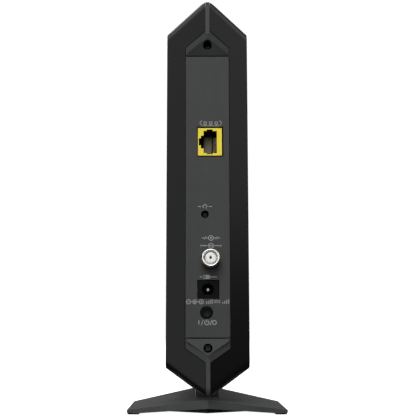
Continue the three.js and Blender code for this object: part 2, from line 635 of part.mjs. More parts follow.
function standWings() {
  const { halfWidth: w, roofZ, endZ, archZ, archX, archFall } = STAND;
  const soleZ = FOOT_THICK + 0.05;
  const archEndZ = archZ - archFall * archX;
  const outline = [
    [0, roofZ], [-w, endZ], [-w, soleZ], [-archX, soleZ], [-archX, archEndZ], [0, archZ],
    [archX, archEndZ], [archX, soleZ], [w, soleZ], [w, endZ],
  ];
  // hollow underside
  const x = 40;
  const ceilingZ = roofZ - ROOF_FALL * x - 1.6;
  const pocket = prismY([[-x, -2], [x, -2], [x, ceilingZ], [0, roofZ - 2.0], [-x, ceilingZ]],
    -60, 60)
    .intersect(prismZ(standPlan(2.2), -3, 20))
    .intersect(box(-35.5, 35.5, -60, 60, -3, 20));
  return prismY(outline, -60, 60).intersect(prismZ(standPlan(0), -1, 20)).subtract(pocket);
}
// block under the middle, almost down to the floor
function standHub() {
  const x = 24, bottomZ = 1.0;
  const sideZ = STAND.roofZ - ROOF_FALL * x - 0.2;
  const underRoof = prismY(
    [[-x, bottomZ], [x, bottomZ], [x, sideZ], [0, STAND.roofZ - 0.3], [-x, sideZ]], -40, 40);
  return prismZ(hexagon(x, 18.5, 30.8), bottomZ, STAND.roofZ - 0.5).intersect(underRoof);
}
// cradle under the body's bottom flat and lower slopes
function standSaddle() {
  const topX = 6.0, flatX = 2.6;
  const topZ = BODY_Z - PEAK_BOTTOM + SLOPE * topX - 0.42;
  const flatZ = BODY_Z - FLAT - GAP;
  return prismY([
    [-6.6, 8.2], [-topX, topZ], [-flatX, flatZ], [flatX, flatZ], [topX, topZ], [6.6, 8.2],
  ], -30, 30);
}
function stand() {
  const hubPocket = box(-16, 16, -14, 14, -1, 6.2);
  const tabs = SIGNS.flatMap(signX => SIGNS.map(signY => box(
    signX * TAB.x0, signX * TAB.x1, signY * TAB.y0, signY * TAB.y1, TAB.z0, TAB.z1)));
  return join([standWings().add(standHub()).subtract(hubPocket), standSaddle(), ...tabs]);
}
const standFoot = ([signX, signY]) => prismZ(
  roundRect(signX * 37.3, signX * 43.7, signY * 14.5, signY * 27.2, 0.8, 3), 0, FOOT_THICK);

// ---------------------------------------------------------------- assembly
const pieces = new THREE.Group();

function put(name, manifold, finish) {
  const { vertProperties, triVerts } = manifold.getMesh();
  const g = new THREE.BufferGeometry();
  g.setAttribute('position', new THREE.BufferAttribute(new Float32Array(vertProperties), 3));
  g.setIndex(new THREE.BufferAttribute(new Uint32Array(triVerts), 1));
  g.computeVertexNormals();
  const mesh = new THREE.Mesh(g, new THREE.MeshStandardMaterial(finish));
  mesh.name = name;
  pieces.add(mesh);
}
// one numbered piece for each item
function putEach(name, items, build, finish) {
  items.forEach((item, i) => put(`${name}_${i + 1}`, build(item), finish));
}

put('left_side_shell', leftShell(), FINISH.leftShell);
put('right_side_shell', rightShell(), FINISH.rightShell);
put('center_frame', centreFrame(), FINISH.frame);
put('port_panel', portPanel(), FINISH.portPanel);
put('front_fascia', frontFascia(), FINISH.fascia);
put('light_pipe', lightPipe(), FINISH.lightPipe);
putEach('status_led', LED_Z, statusLed, FINISH.led);
put('main_circuit_board', circuitBoard(), FINISH.board);
putEach('board_screw', BOARD_SCREWS, boardScrew, FINISH.boardScrew);
put('rear_screw_top', rearScrew(REAR_SCREW_Z), FINISH.rearScrew);
put('rear_screw_bottom', rearScrew(-REAR_SCREW_Z), FINISH.rearScrew);
put('ethernet_jack_housing', ethernetHousing(), FINISH.ethernetHousing);
put('ethernet_jack_insert', ethernetInsert(), FINISH.ethernetInsert);
put('ethernet_jack_contacts', ethernetContacts(), FINISH.ethernetContacts);
put('ethernet_transformer', transformer(), FINISH.transformer);
put('coax_connector_body', coaxBody(), FINISH.coaxBody);
put('coax_insulator', coaxInsulator(), FINISH.coaxInsulator);
put('coax_centre_contact', coaxContact(), FINISH.coaxContact);
put('power_jack_housing', powerHousing(), FINISH.powerHousing);
put('power_jack_pin', powerPin(), FINISH.powerPin);
put('power_jack_leaf', powerLeaf(), FINISH.powerLeaf);
put('power_switch_body', switchBody(), FINISH.switchBody);
put('power_switch_plunger', buttonBar(1.5, 40.2, 52.6), FINISH.switchPlunger);
put('power_button_cap', buttonCap(), FINISH.buttonCap);
put('reset_switch_body', resetBody(), FINISH.resetBody);
put('reset_plunger', resetPlunger(), FINISH.resetPlunger);
put('tuner_shield_fence', shieldFence(), FINISH.shieldFence);
put('tuner_shield_lid', shieldLid(), FINISH.shieldLid);
put('tuner_chip', chip(4.4, 21, 29, TUNER.z0 + 8, TUNER.z0 + 16), FINISH.tunerChip);
put('modem_processor', chip(4.0, -10, 10, -4, 16), FINISH.chip);
put('thermal_pad', bodyBox(3.3, 3.9, -9.5, 9.5, -3.5, 15.5), FINISH.thermalPad);
put('heat_sink', heatSink(), FINISH.heatSink);
put('memory_chip_1', chip(4.3, -33, -22, -2, 7), FINISH.chip);
put('memory_chip_2', chip(4.3, -33, -22, 10, 19), FINISH.chip);
put('flash_chip', chip(4.2, -14, -6, 34, 40), FINISH.chip);
put('crystal', crystal(), FINISH.crystal);
putEach('bulk_capacitor', CAPACITORS, capacitor, FINISH.capacitor);
putEach('power_inductor', INDUCTORS, inductor, FINISH.inductor);
putEach('voltage_regulator', REGULATORS, regulator, FINISH.chip);
put('stand', stand(), FINISH.stand);
putEach('stand_foot', [[1, 1], [1, -1], [-1, 1], [-1, -1]], standFoot, FINISH.foot);

// the coax tip reaches further to the rear than the front keel reaches forward
pieces.position.set(0, (FRAME_KEEL_Y - COAX.tipY) / 2, 0);
const modem = new THREE.Group();
modem.add(pieces);

export default modem;
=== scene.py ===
# Upright cable modem: looks, added fine meshes, lights and camera round its CAD pieces.
# It stands on Z = 0 with the indicator fascia facing -Y and the port panel facing +Y.
# The main circuit board lies across X, with its components towards -X.
# Blender works in metres; sizes here are millimetres unless a comment says otherwise.
import bpy
import bmesh
import math
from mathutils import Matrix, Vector


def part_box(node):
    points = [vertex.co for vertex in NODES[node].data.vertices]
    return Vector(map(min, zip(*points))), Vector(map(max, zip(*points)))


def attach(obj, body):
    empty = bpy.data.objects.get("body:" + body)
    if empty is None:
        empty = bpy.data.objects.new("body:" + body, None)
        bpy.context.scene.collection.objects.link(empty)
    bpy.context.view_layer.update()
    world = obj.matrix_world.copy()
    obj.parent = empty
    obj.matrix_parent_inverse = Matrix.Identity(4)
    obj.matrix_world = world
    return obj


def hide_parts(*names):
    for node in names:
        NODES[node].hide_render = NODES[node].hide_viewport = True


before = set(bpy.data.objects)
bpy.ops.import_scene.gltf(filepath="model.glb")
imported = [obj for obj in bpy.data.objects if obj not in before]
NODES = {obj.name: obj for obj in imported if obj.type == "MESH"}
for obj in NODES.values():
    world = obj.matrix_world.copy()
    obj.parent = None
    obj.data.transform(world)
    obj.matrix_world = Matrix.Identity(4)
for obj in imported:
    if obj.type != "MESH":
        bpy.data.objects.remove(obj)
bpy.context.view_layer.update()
MM = 0.001
MID_Z = 117.4             # middle height of the body; heights of ports and marks count from here


def box_mm(node):
    """Low and high corner of a CAD piece in millimetres."""
    low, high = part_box(node)
    return [value / MM for value in low], [value / MM for value in high]


def around(middle, half):
    return middle - half, middle + half


# ------------------------------------------------------------------ materials
class Shader:
    """A principled material whose detail comes from noise in the piece's own metres."""

    def __init__(self, name):
        self.material = bpy.data.materials.new(name)
        self.material.use_nodes = True
        self.tree = self.material.node_tree
        self.tree.nodes.clear()
        self.principled = self.add("ShaderNodeBsdfPrincipled")
        self.add("ShaderNodeOutputMaterial", {0: self.principled.outputs[0]})
        self.place = self.add("ShaderNodeTexCoord").outputs["Object"]

    def feed(self, socket, value):
        """Sets a socket to a constant, or links it when the value is another socket."""
        if isinstance(value, (int, float, tuple)):
            socket.default_value = value
        else:
            self.tree.links.new(value, socket)

    def add(self, kind, inputs=None, **settings):
        node = self.tree.nodes.new(kind)
        for key, value in settings.items():
            setattr(node, key, value)
        for key, value in (inputs or {}).items():
            self.feed(node.inputs[key], value)
        return node

    def noise(self, size_mm, detail=2.0, rough=0.5, vector=None):
        return self.add("ShaderNodeTexNoise", {
            "Scale": 1000.0 / size_mm, "Detail": detail, "Roughness": rough,
            "Vector": vector or self.place}).outputs["Fac"]

    def voronoi(self, size_mm):
        return self.add("ShaderNodeTexVoronoi", {
            "Scale": 1000.0 / size_mm, "Vector": self.place}).outputs["Distance"]

    def stretched(self, scale, rotation=(0, 0, 0)):
        return self.add("ShaderNodeMapping", {
            "Scale": scale, "Rotation": rotation, "Vector": self.place}).outputs[0]

    def remap(self, value, span, to=(0.0, 1.0)):
        """Carries the range span over to the range to, clamped."""
        return self.add("ShaderNodeMapRange", {
            "Value": value, "From Min": span[0], "From Max": span[1],
            "To Min": to[0], "To Max": to[1]}, clamp=True).outputs[0]

    def math(self, operation, *values):
        return self.add("ShaderNodeMath", dict(enumerate(values)), operation=operation).outputs[0]

    def mix(self, factor, first, second):
        return self.add("ShaderNodeMix", {0: factor, 6: first, 7: second},
                        data_type="RGBA", blend_type="MIX").outputs[2]

    def edge(self, radius_mm, samples):
        """0 on flats, rising on edges, from the rounded normal."""
        rounded = self.add("ShaderNodeBevel", {"Radius": radius_mm * MM}, samples=samples)
        flat = self.add("ShaderNodeNewGeometry").outputs["Normal"]
        dot = self.add("ShaderNodeVectorMath", {0: rounded.outputs[0], 1: flat},
                       operation="DOT_PRODUCT")
        return self.remap(dot.outputs["Value"], span=(1.0, 0.86))

    def bump(self, height, strength, depth_mm):
        return self.add("ShaderNodeBump", {
            "Strength": strength, "Distance": depth_mm * MM, "Height": height}).outputs[0]

    def finish(self, inputs):
        """Fills the principled inputs and gives the material."""
        for key, value in inputs.items():
            self.feed(self.principled.inputs[key], value)
        return self.material


def shade(rgb, gain):
    return tuple(min(1.0, channel * gain) for channel in rgb) + (1.0,)


def plastic(name, rgb, rough, grain_mm=0.45, grain=0.25, depth_mm=0.012, var=0.10,
            blotch_mm=16.0, wear=0.0, spec=0.5, scuff=0.03, coat=0.0):
    """Moulded plastic: spark-eroded grain, faint flow blotches, polished or worn edges.

    grain, depth_mm: strength and depth of the relief; var: change of tone;
    wear: lightening of the edges; scuff: change of roughness."""
    shader = Shader(name)
    math_node, remap = shader.math, shader.remap
    blotch = shader.noise(size_mm=blotch_mm, detail=3.0, rough=0.55)
    fine = shader.noise(size_mm=grain_mm, rough=0.6)
    cells = shader.voronoi(size_mm=grain_mm * 1.6)
    relief_share = 0.6    # of each of the two reliefs
    height = math_node("ADD", math_node("MULTIPLY", fine, relief_share),
                       math_node("MULTIPLY", cells, relief_share))
    base = shader.mix(remap(blotch, span=(0.35, 0.65)), shade(rgb, 1 - var), shade(rgb, 1 + var))
    base = shader.mix(remap(fine, span=(0.3, 0.7), to=(0.0, 0.5)), base,
                      shade(rgb, 1 - 1.5 * var))
    long_way = shader.stretched(scale=(1.0, 1.0, 0.12), rotation=(0.5, 0.2, 0.1))
    streak = shader.noise(size_mm=2.2, detail=3.0, rough=0.6, vector=long_way)
    roughness = math_node(
        "ADD", remap(blotch, span=(0.3, 0.7), to=(rough - scuff, rough + scuff)),
        remap(streak, span=(0.35, 0.7), to=(-0.5 * scuff, 0.8 * scuff)))
    if wear > 0:
        edge = shader.edge(radius_mm=0.35, samples=4)
        patch = remap(shader.noise(size_mm=3.0, detail=3.0), span=(0.35, 0.65), to=(0.35, 1.0))
        worn = math_node("MULTIPLY", math_node("MULTIPLY", edge, patch), wear)
        base = shader.mix(worn, base, shade(rgb, gain=2.2))
    return shader.finish({
        "Base Color": base, "Roughness": roughness, "IOR": 1.5, "Specular IOR Level": spec,
        "Coat Weight": coat, "Coat Roughness": 0.08,
        "Normal": shader.bump(height, strength=grain, depth_mm=depth_mm)})


def metal(name, rgb, rough, axis=1, var=0.06, tarnish=0.0):
    """Plated or rolled metal: marks drawn along an axis (0 X, 1 Y, 2 Z), slight tarnish."""
    shader = Shader(name)
    remap = shader.remap
    stretch = [6.0, 6.0, 6.0]
    stretch[axis] = 0.4
    marks = shader.noise(size_mm=0.96, detail=3.0, rough=0.6,
                         vector=shader.stretched(scale=tuple(stretch)))
    blotch = shader.noise(size_mm=4.0, detail=3.0, rough=0.6)
    base = shader.mix(remap(blotch, span=(0.35, 0.65)), shade(rgb, 1 - var), shade(rgb, 1 + var))
    if tarnish:
        stain = remap(shader.noise(size_mm=1.3, detail=3.0), span=(0.45, 0.75), to=(0.0, tarnish))
        base = shader.mix(stain, base, shade(rgb, gain=0.45))
    roughness = shader.math("ADD", remap(marks, span=(0.3, 0.7), to=(rough - 0.06, rough + 0.08)),
                            remap(blotch, span=(0.3, 0.7), to=(-0.03, 0.03)))
    return shader.finish({"Base Color": base, "Metallic": 1.0, "Roughness": roughness,
                          "Normal": shader.bump(marks, strength=0.25, depth_mm=0.002)})


def lens_material():
    """Clear, slightly uneven light pipe."""
    shader = Shader("light_pipe_clear")
    tint = shader.remap(shader.noise(size_mm=6.0), span=(0.3, 0.7))
    return shader.finish({
        "Base Color": shader.mix(tint, (0.86, 0.90, 0.92, 1), (0.94, 0.96, 0.97, 1)),
        "Roughness": shader.remap(shader.noise(size_mm=0.8), span=(0.3, 0.7), to=(0.10, 0.22)),
        "IOR": 1.49, "Transmission Weight": 0.75,
        "Normal": shader.bump(shader.noise(size_mm=0.5), strength=0.15, depth_mm=0.01)})


def board_material():
    """Green board: traces in two directions, gated by patches, with pale vias."""
    shader = Shader("circuit_board_green")
    math_node = shader.math
    axes = shader.add("ShaderNodeSeparateXYZ", {0: shader.place}).outputs
    warp = shader.noise(size_mm=26, detail=1.0)
    traces_per_mm, gap_share, via_radius = 0.8, 0.62, 0.10

    def bands(axis, sway_mm):
        """1 on the traces that follow each other along an axis, 0 between them."""
        place_mm = math_node("ADD", math_node("MULTIPLY", axes[axis], 1000.0),
                             math_node("MULTIPLY", warp, sway_mm))
        phase = math_node("FRACT", math_node("MULTIPLY", place_mm, traces_per_mm))
        return math_node("GREATER_THAN", phase, gap_share)

    gate = math_node("GREATER_THAN", shader.noise(size_mm=15, detail=1.0), 0.5)
    traces = math_node(
        "ADD", math_node("MULTIPLY", bands(axis=1, sway_mm=9.0), gate),
        math_node("MULTIPLY", bands(axis=2, sway_mm=-7.0), math_node("SUBTRACT", 1.0, gate)))
    vias = math_node("LESS_THAN", shader.voronoi(size_mm=3.2), via_radius)
    dark_patch = shader.remap(shader.noise(size_mm=9, detail=3.0), span=(0.3, 0.7), to=(0, 0.4))
    base = shader.mix(traces, (0.010, 0.060, 0.026, 1), (0.022, 0.115, 0.045, 1))
    base = shader.mix(dark_patch, base, (0.006, 0.040, 0.018, 1))
    base = shader.mix(math_node("MULTIPLY", vias, 0.8), base, (0.45, 0.42, 0.34, 1))
    return shader.finish({
        "Base Color": base,
        "Roughness": shader.remap(shader.noise(size_mm=5), span=(0.3, 0.7), to=(0.30, 0.42)),
        "Normal": shader.bump(traces, strength=0.4, depth_mm=0.03)})


# Materials by the slot names of the CAD.
MATS = {
    "shell": plastic("shell_satin_black", rgb=(0.0058, 0.0060, 0.0066), rough=0.27, grain_mm=0.6,
                     grain=0.10, depth_mm=0.0015, var=0.05, blotch_mm=60, scuff=0.0, wear=0.25),
    "frame": plastic("frame_matt_grey", rgb=(0.0550, 0.0571, 0.0565), rough=0.60, wear=0.25,
                     spec=0.3),
    "panel": plastic("panel_matt_grey", rgb=(0.0488, 0.0508, 0.0503), rough=0.62, grain=0.35,
                     wear=0.2, spec=0.3),
    "stand": plastic("stand_matt_grey", rgb=(0.0715, 0.0742, 0.0734), rough=0.55, wear=0.3,
                     grain=0.3, spec=0.3),
    "fascia": plastic("fascia_gloss_black", rgb=(0.004, 0.004, 0.0045), rough=0.12, grain=0.05,
                      depth_mm=0.002, coat=0.3),
    "yellow_plastic": plastic("jack_yellow", rgb=(0.98, 0.78, 0.025), rough=0.42, var=0.02,
                              spec=0.3, grain=0.15, blotch_mm=5),
    "black_plastic": plastic("jack_black", rgb=(0.0022, 0.0022, 0.0024), rough=0.55, spec=0.08,
                             grain=0.2, blotch_mm=6),
    "button": plastic("button_black", rgb=(0.0035, 0.0035, 0.0038), rough=0.5, spec=0.12,
                      grain=0.2, wear=0.5, blotch_mm=5),
    "white_plastic": plastic("insulator_white", rgb=(0.96, 0.955, 0.94), rough=0.40, var=0.02,
                             grain=0.15, blotch_mm=3),
    "nickel": metal("nickel_plate", rgb=(0.80, 0.78, 0.74), rough=0.30, tarnish=0.12),
    "tinned_steel": metal("tinned_steel", rgb=(0.62, 0.63, 0.64), rough=0.42, axis=2,
                          tarnish=0.15),
    "gold_plated": metal("gold_plate", rgb=(0.86, 0.62, 0.27), rough=0.30, tarnish=0.08),
    "black_steel": metal("blackened_steel", rgb=(0.035, 0.035, 0.037), rough=0.45, tarnish=0.2),
    "zinc_steel": metal("zinc_steel", rgb=(0.60, 0.60, 0.58), rough=0.38, tarnish=0.15),
    "chip": plastic("chip_epoxy", rgb=(0.012, 0.012, 0.0125), rough=0.55, var=0.12, grain_mm=0.2,
                    grain=0.4, blotch_mm=4),
    "heat_sink": metal("heat_sink_aluminium", rgb=(0.50, 0.51, 0.52), rough=0.45, axis=2),
    "thermal_pad": plastic("thermal_pad", rgb=(0.36, 0.45, 0.55), rough=0.85, var=0.06,
                           grain=0.5, grain_mm=0.5),
    "capacitor": plastic("capacitor_sleeve", rgb=(0.012, 0.018, 0.045), rough=0.32, var=0.08,
                         grain=0.05),
    "ferrite": plastic("ferrite", rgb=(0.045, 0.045, 0.047), rough=0.75, var=0.15, grain=0.6,
                       grain_mm=0.3, blotch_mm=2),
    "led": plastic("led_lens", rgb=(0.85, 0.80, 0.55), rough=0.3, var=0.05, grain=0.05),
    "rubber_foot": plastic("foot_rubber", rgb=(0.020, 0.020, 0.021), rough=0.8, grain=0.6,
                           grain_mm=0.4),
    "clear_lens": lens_material(),
    "circuit_board": board_material(),
}
# Materials outside the CAD slots.
INK = plastic("label_ink", rgb=(0.36, 0.36, 0.36), rough=0.6, spec=0.3, grain=0.3, grain_mm=0.25,
              blotch_mm=2)
SOLDER = metal("solder_tin", rgb=(0.66, 0.67, 0.68), rough=0.35, tarnish=0.1)
KHAKI = plastic("jack_back_nylon", rgb=(0.24, 0.21, 0.145), rough=0.6, var=0.08, grain=0.3,
                grain_mm=0.3, blotch_mm=3)
SMALL_BODY = plastic("smd_body", rgb=(0.020, 0.018, 0.016), rough=0.5, var=0.15, grain=0.3,
                     grain_mm=0.2, blotch_mm=1.5)
SMALL_TAN = plastic("smd_ceramic", rgb=(0.34, 0.23, 0.12), rough=0.5, var=0.15, grain=0.3,
                    grain_mm=0.2, blotch_mm=1.5)
# Pin steel darkened to about half the tone of tinned steel: painted shade inside the supply
# jack's bore, in place of its reflection.
PIN_STEEL_PAINTED_SHADE = metal("pin_steel_painted_shade", rgb=(0.30, 0.30, 0.31), rough=0.48, var=0.08)
# Dark brownish metal for the coax contact: painted shade for the black dot of the deep insulator
# hole.
CONTACT_PAINTED_SHADE = metal("contact_painted_shade", rgb=(0.09, 0.075, 0.05), rough=0.5, var=0.1)
WIRE_GOLD = plastic("wire_gold_flash", rgb=(0.80, 0.66, 0.40), rough=0.35, var=0.04, grain=0.05,
                    spec=0.8)

# --------------------------------------------------- carried-over CAD solids
# Width of the rounded edges of each piece.
EDGE_WIDTHS = {
    "left_side_shell": 0.16, "right_side_shell": 0.16, "center_frame": 0.15, "port_panel": 0.2,
    "front_fascia": 0.2, "stand": 0.3, "ethernet_jack_insert": 0.1,
    "ethernet_jack_housing": 0.08, "power_jack_housing": 0.12, "power_switch_body": 0.15,
    "reset_switch_body": 0.12, "ethernet_transformer": 0.3, "tuner_shield_lid": 0.1,
    "tuner_shield_fence": 0.05, "heat_sink": 0.15, "modem_processor": 0.12,
    "memory_chip_1": 0.1, "memory_chip_2": 0.1, "flash_chip": 0.1, "tuner_chip": 0.1,
    "crystal": 0.25, "thermal_pad": 0.1, "main_circuit_board": 0.05, "power_button_cap": 0.15,
    "reset_plunger": 0.12, "light_pipe": 0.12, "power_switch_plunger": 0.1,
    "power_jack_pin": 0.1,
}
OTHER_EDGE_WIDTH = 0.08
# Pieces with many windows keep their triangles: a face with holes folds over when its
# edges are rounded.
KEEP_TRIANGLES = ("left_side_shell", "right_side_shell", "ethernet_jack_housing",
                  "tuner_shield_lid")


def clean_group():
    """Joins the triangles' corners into one surface and drops the stored normals."""
    group = bpy.data.node_groups.new("clean_cad_surface", "GeometryNodeTree")
    for direction in ("INPUT", "OUTPUT"):
        group.interface.new_socket("Geometry", in_out=direction, socket_type="NodeSocketGeometry")
    start, end = group.nodes.new("NodeGroupInput"), group.nodes.new("NodeGroupOutput")
    merge = group.nodes.new("GeometryNodeMergeByDistance")
    merge.inputs["Distance"].default_value = 2e-6   # metres
    last = start.outputs[0]
    for name in ("custom_normal", "sharp_face", "sharp_edge"):
        remove = group.nodes.new("GeometryNodeRemoveAttribute")
        remove.inputs["Name"].default_value = name
        group.links.new(last, remove.inputs["Geometry"])
        last = remove.outputs[0]
    group.links.new(last, merge.inputs["Geometry"])
    group.links.new(merge.outputs[0], end.inputs[0])
    return group


CLEAN = clean_group()


def dress(node, material):
    """Gives a CAD piece its material, a clean surface and rounded edges."""
    piece = NODES[node]
    piece.data.materials.clear()
    piece.data.materials.append(material)
    piece.modifiers.new("clean", "NODES").node_group = CLEAN
    dissolve = node not in KEEP_TRIANGLES
    if dissolve:
        planar = piece.modifiers.new("planar", "DECIMATE")
        planar.decimate_type = "DISSOLVE"
        planar.angle_limit = math.radians(0.6)
    edges = piece.modifiers.new("edges", "BEVEL")
    edges.width = EDGE_WIDTHS.get(node, OTHER_EDGE_WIDTH) * MM
    edges.segments = 2
    edges.limit_method = "ANGLE"
    edges.angle_limit = math.radians(28)
    edges.miter_outer = "MITER_ARC"
    edges.harden_normals = False
    edges.use_clamp_overlap = dissolve
    normals = piece.modifiers.new("normals", "WEIGHTED_NORMAL")
    normals.weight = 80
    normals.keep_sharp = False


def slot_name(piece):
    slots = piece.data.materials
    return slots[0].name.split(".")[0] if slots and slots[0] else "shell"


# All slots are read before any piece is given its material.
SLOT_OF = {name: slot_name(piece) for name, piece in NODES.items()}
# The supply jack's pin takes the darkened pin steel, which is painted shade for its bore.
for name in NODES:
    dress(name, PIN_STEEL_PAINTED_SHADE if name == "power_jack_pin" else MATS[SLOT_OF[name]])

# ------------------------------------------------------------- mesh helpers
PANEL_Y = box_mm("port_panel")[1][1]
FASCIA_Y = box_mm("front_fascia")[0][1]
SHIFT_Y = PANEL_Y - 56.5      # from the drawing's y to the frame's y


def finish_mesh(name, mesh, materials, body, stands_for=None, smooth=40):
    """Turns a bmesh in millimetres into a piece that rides on a body.
    Edges sharper than smooth degrees stay sharp."""
    bmesh.ops.recalc_face_normals(mesh, faces=mesh.faces[:])
    for vert in mesh.verts:
        vert.co *= MM
    for face in mesh.faces:
        face.smooth = True
    for edge in mesh.edges:
        edge.smooth = not (len(edge.link_faces) == 2
                           and edge.calc_face_angle(0) > math.radians(smooth))
    data = bpy.data.meshes.new(name)
    mesh.to_mesh(data)
    mesh.free()
    for material in materials:
        data.materials.append(material)
    piece = bpy.data.objects.new(name, data)
    bpy.context.scene.collection.objects.link(piece)
    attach(piece, body)
    if stands_for:
        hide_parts(stands_for)


def ring(mesh, radius, y, x, z, sides):
    """A circle of vertices across Y; radius 0 gives a single point."""
    if radius < 1e-6:
        return [mesh.verts.new((x, y, z))]
    turns = [2 * math.pi * i / sides for i in range(sides)]
    return [mesh.verts.new((x + radius * math.cos(turn), y, z + radius * math.sin(turn)))
            for turn in turns]


def bridge(mesh, first, second):
    """A band of faces between two rings, either of which may be a point."""
    count = max(len(first), len(second))
    for i in range(count):
        j = (i + 1) % count
        if len(first) == 1:
            mesh.faces.new((first[0], second[i], second[j]))
        elif len(second) == 1:
            mesh.faces.new((first[i], second[0], first[j]))
        else:
            mesh.faces.new((first[i], second[i], second[j], first[j]))


def bridge_all(mesh, rings):
    for first, second in zip(rings, rings[1:]):
        bridge(mesh, first, second)


def lathe(profile, x, z, sides=64):
    """Profile of (radius, y) turned about the Y direction through (x, z).
    It ends in points on the axis, or else is joined end to start."""
    mesh = bmesh.new()
    rings = [ring(mesh, radius, y, x, z, sides) for radius, y in profile]
    bridge_all(mesh, rings)
    if len(rings[0]) > 1 and len(rings[-1]) > 1:
        bridge(mesh, rings[-1], rings[0])
    return mesh


def slab(mesh, points, y_low, y_high, material=0):
    """Closed prism of a polygon (x, z) between two y."""
    low = [mesh.verts.new((x, y_low, z)) for x, z in points]
    high = [mesh.verts.new((x, y_high, z)) for x, z in points]
    faces = [mesh.faces.new(low), mesh.faces.new(high)]
    for i in range(len(points)):
        j = (i + 1) % len(points)
        faces.append(mesh.faces.new((low[i], low[j], high[j], high[i])))
    for face in faces:
        face.material_index = material
    return low + high


def block(mesh, x_span, y_span, z_span, bevel, segments, material=0):
    """Box with rounded edges; each span is (low, high)."""
    (x_low, x_high), (z_low, z_high) = x_span, z_span
    corners = [(x_low, z_low), (x_high, z_low), (x_high, z_high), (x_low, z_high)]
    verts = slab(mesh, corners, *y_span, material)
    edges = {edge for vert in verts for edge in vert.link_edges}
    rounded = bmesh.ops.bevel(mesh, geom=list(edges), offset=bevel, segments=segments,
                              profile=0.5, affect="EDGES")
    for face in rounded["faces"]:
        face.material_index = material


def cylinder(mesh, start, end, radius, sides, chamfer):
    """Closed cylinder with chamfered ends."""
    start, end = Vector(start), Vector(end)
    along = (end - start).normalized()
    side = along.orthogonal().normalized()
    other = along.cross(side)
    length = (end - start).length
    rings = []
    for step, reach in ((0.0, radius - chamfer), (chamfer, radius),
                        (length - chamfer, radius), (length, radius - chamfer)):
        turns = [2 * math.pi * i / sides for i in range(sides)]
        rings.append([mesh.verts.new(start + along * step
                                     + (side * math.cos(turn) + other * math.sin(turn)) * reach)
                      for turn in turns])
    mesh.faces.new(rings[0])
    mesh.faces.new(rings[-1])
    bridge_all(mesh, rings)


# ------------------------------------------------------------ printed marks
BOLD = 0.42               # stroke of most port marks
MEDIUM = 0.36
LIGHT = 0.34
SIDES = (-1, 1)


class Marks:
    """Thin raised ink on a face that looks along +Y (side 1) or -Y (side -1).
    x runs to the reader's right and z up, both from the spot set by at()."""

    def __init__(self, face_y, side):
        self.mesh = bmesh.new()
        self.side = side
        self.y_span = (face_y + side * 0.004, face_y + side * 0.045)

    def at(self, x, z):
        """Sets the middle of the next mark, from the middle of the body."""
        self.x, self.z = x, z

    def spot(self, x, z):
        return -self.side * (self.x + x), MID_Z + self.z + z

    def poly(self, points):
        slab(self.mesh, [self.spot(x, z) for x, z in points], *self.y_span)

    def rect(self, left, right, bottom, top):
        self.poly([(left, bottom), (right, bottom), (right, top), (left, top)])

    def line(self, start, end, width):
        start, end = Vector(start), Vector(end)
        along = (end - start).normalized()
        across = Vector((-along.y, along.x)) * width / 2
        cap = along * width / 2
        self.poly([start - cap - across, end + cap - across,
                   end + cap + across, start - cap + across])

    def level(self, left, right, width, z=0.0):
        self.line((left, z), (right, z), width)

    def arc(self, radius, width, start=0.0, end=360.0, x=0.0, squeeze=1.0):
        """Ring or part of one, between angles in degrees; squeeze narrows it."""
        sweep = end - start
        full = sweep == 360.0
        steps = int(36 * sweep / 360.0)
        count = steps if full else steps + 1
        turns = [math.radians(start + sweep * i / steps) for i in range(count)]
        loops = []
        for reach in (radius - width / 2, radius + width / 2):
            spots = [self.spot(x + reach * math.cos(turn) * squeeze, reach * math.sin(turn))
                     for turn in turns]
            for y in self.y_span:
                loops.append([self.mesh.verts.new((across, y, up)) for across, up in spots])
        in_low, in_high, out_low, out_high = loops
        new_face = self.mesh.faces.new
        for i in range(steps):
            j = (i + 1) % count
            new_face((in_low[i], in_low[j], out_low[j], out_low[i]))
            new_face((in_high[i], out_high[i], out_high[j], in_high[j]))
            new_face((in_low[i], in_high[i], in_high[j], in_low[j]))
            new_face((out_low[i], out_low[j], out_high[j], out_high[i]))
        if not full:
            for i in (0, count - 1):
                new_face((in_low[i], out_low[i], out_high[i], in_high[i]))

    def disc(self, radius, x=0.0):
        turns = [2 * math.pi * i / 20 for i in range(20)]
        self.poly([(x + radius * math.cos(turn), radius * math.sin(turn)) for turn in turns])

    def station(self, x, half, width, bars):
        """Hollow box: two level bars (bottom, top) and the uprights between them."""
        for bottom, top in bars:
            self.rect(x - half, x + half, bottom, top)
        (_, bottom), (top, _) = sorted(bars)
        self.rect(x - half, x - half + width, bottom, top)
        self.rect(x + half - width, x + half, bottom, top)

    def globe(self, width, meridian, equator):
        """Circle with an oval and a bar in it; the arguments are stroke widths."""
        self.arc(1.3, width)
        self.arc(1.3, meridian, squeeze=0.45)
        self.rect(-1.2, 1.2, -equator / 2, equator / 2)

    def done(self, name):
        finish_mesh(name, self.mesh, [INK], "modem")


def network_mark(marks):
    """Three linked stations between brackets."""
    marks.at(1.77, 38.4)
    for k in (-1, 0, 1):
        middle = k * 3.0
        marks.station(middle, half=0.85, width=MEDIUM, bars=((0.55, 0.91), (-0.75, -0.39)))
        marks.rect(*around(middle, 0.18), -1.35, -0.75)
    marks.rect(-4.6, 4.6, -1.62, -1.30)
    for side in SIDES:
        marks.line((side * 4.9, 1.25), (side * 6.0, 0.1), BOLD)
        marks.line((side * 6.0, 0.1), (side * 4.9, -1.05), BOLD)


def restart_mark(marks):
    """A turning arrow between two dashes."""
    radius, start = 1.02, -50
    marks.at(-1.4, -6.95)
    marks.arc(radius, BOLD, start, 220)
    x, z = radius * math.cos(math.radians(start)), radius * math.sin(math.radians(start))
    marks.poly([(x - 0.62, z + 0.38), (x + 0.66, z + 0.50), (x + 0.12, z - 0.52)])
    for side in SIDES:
        marks.level(side * 2.2, side * 3.5, BOLD)


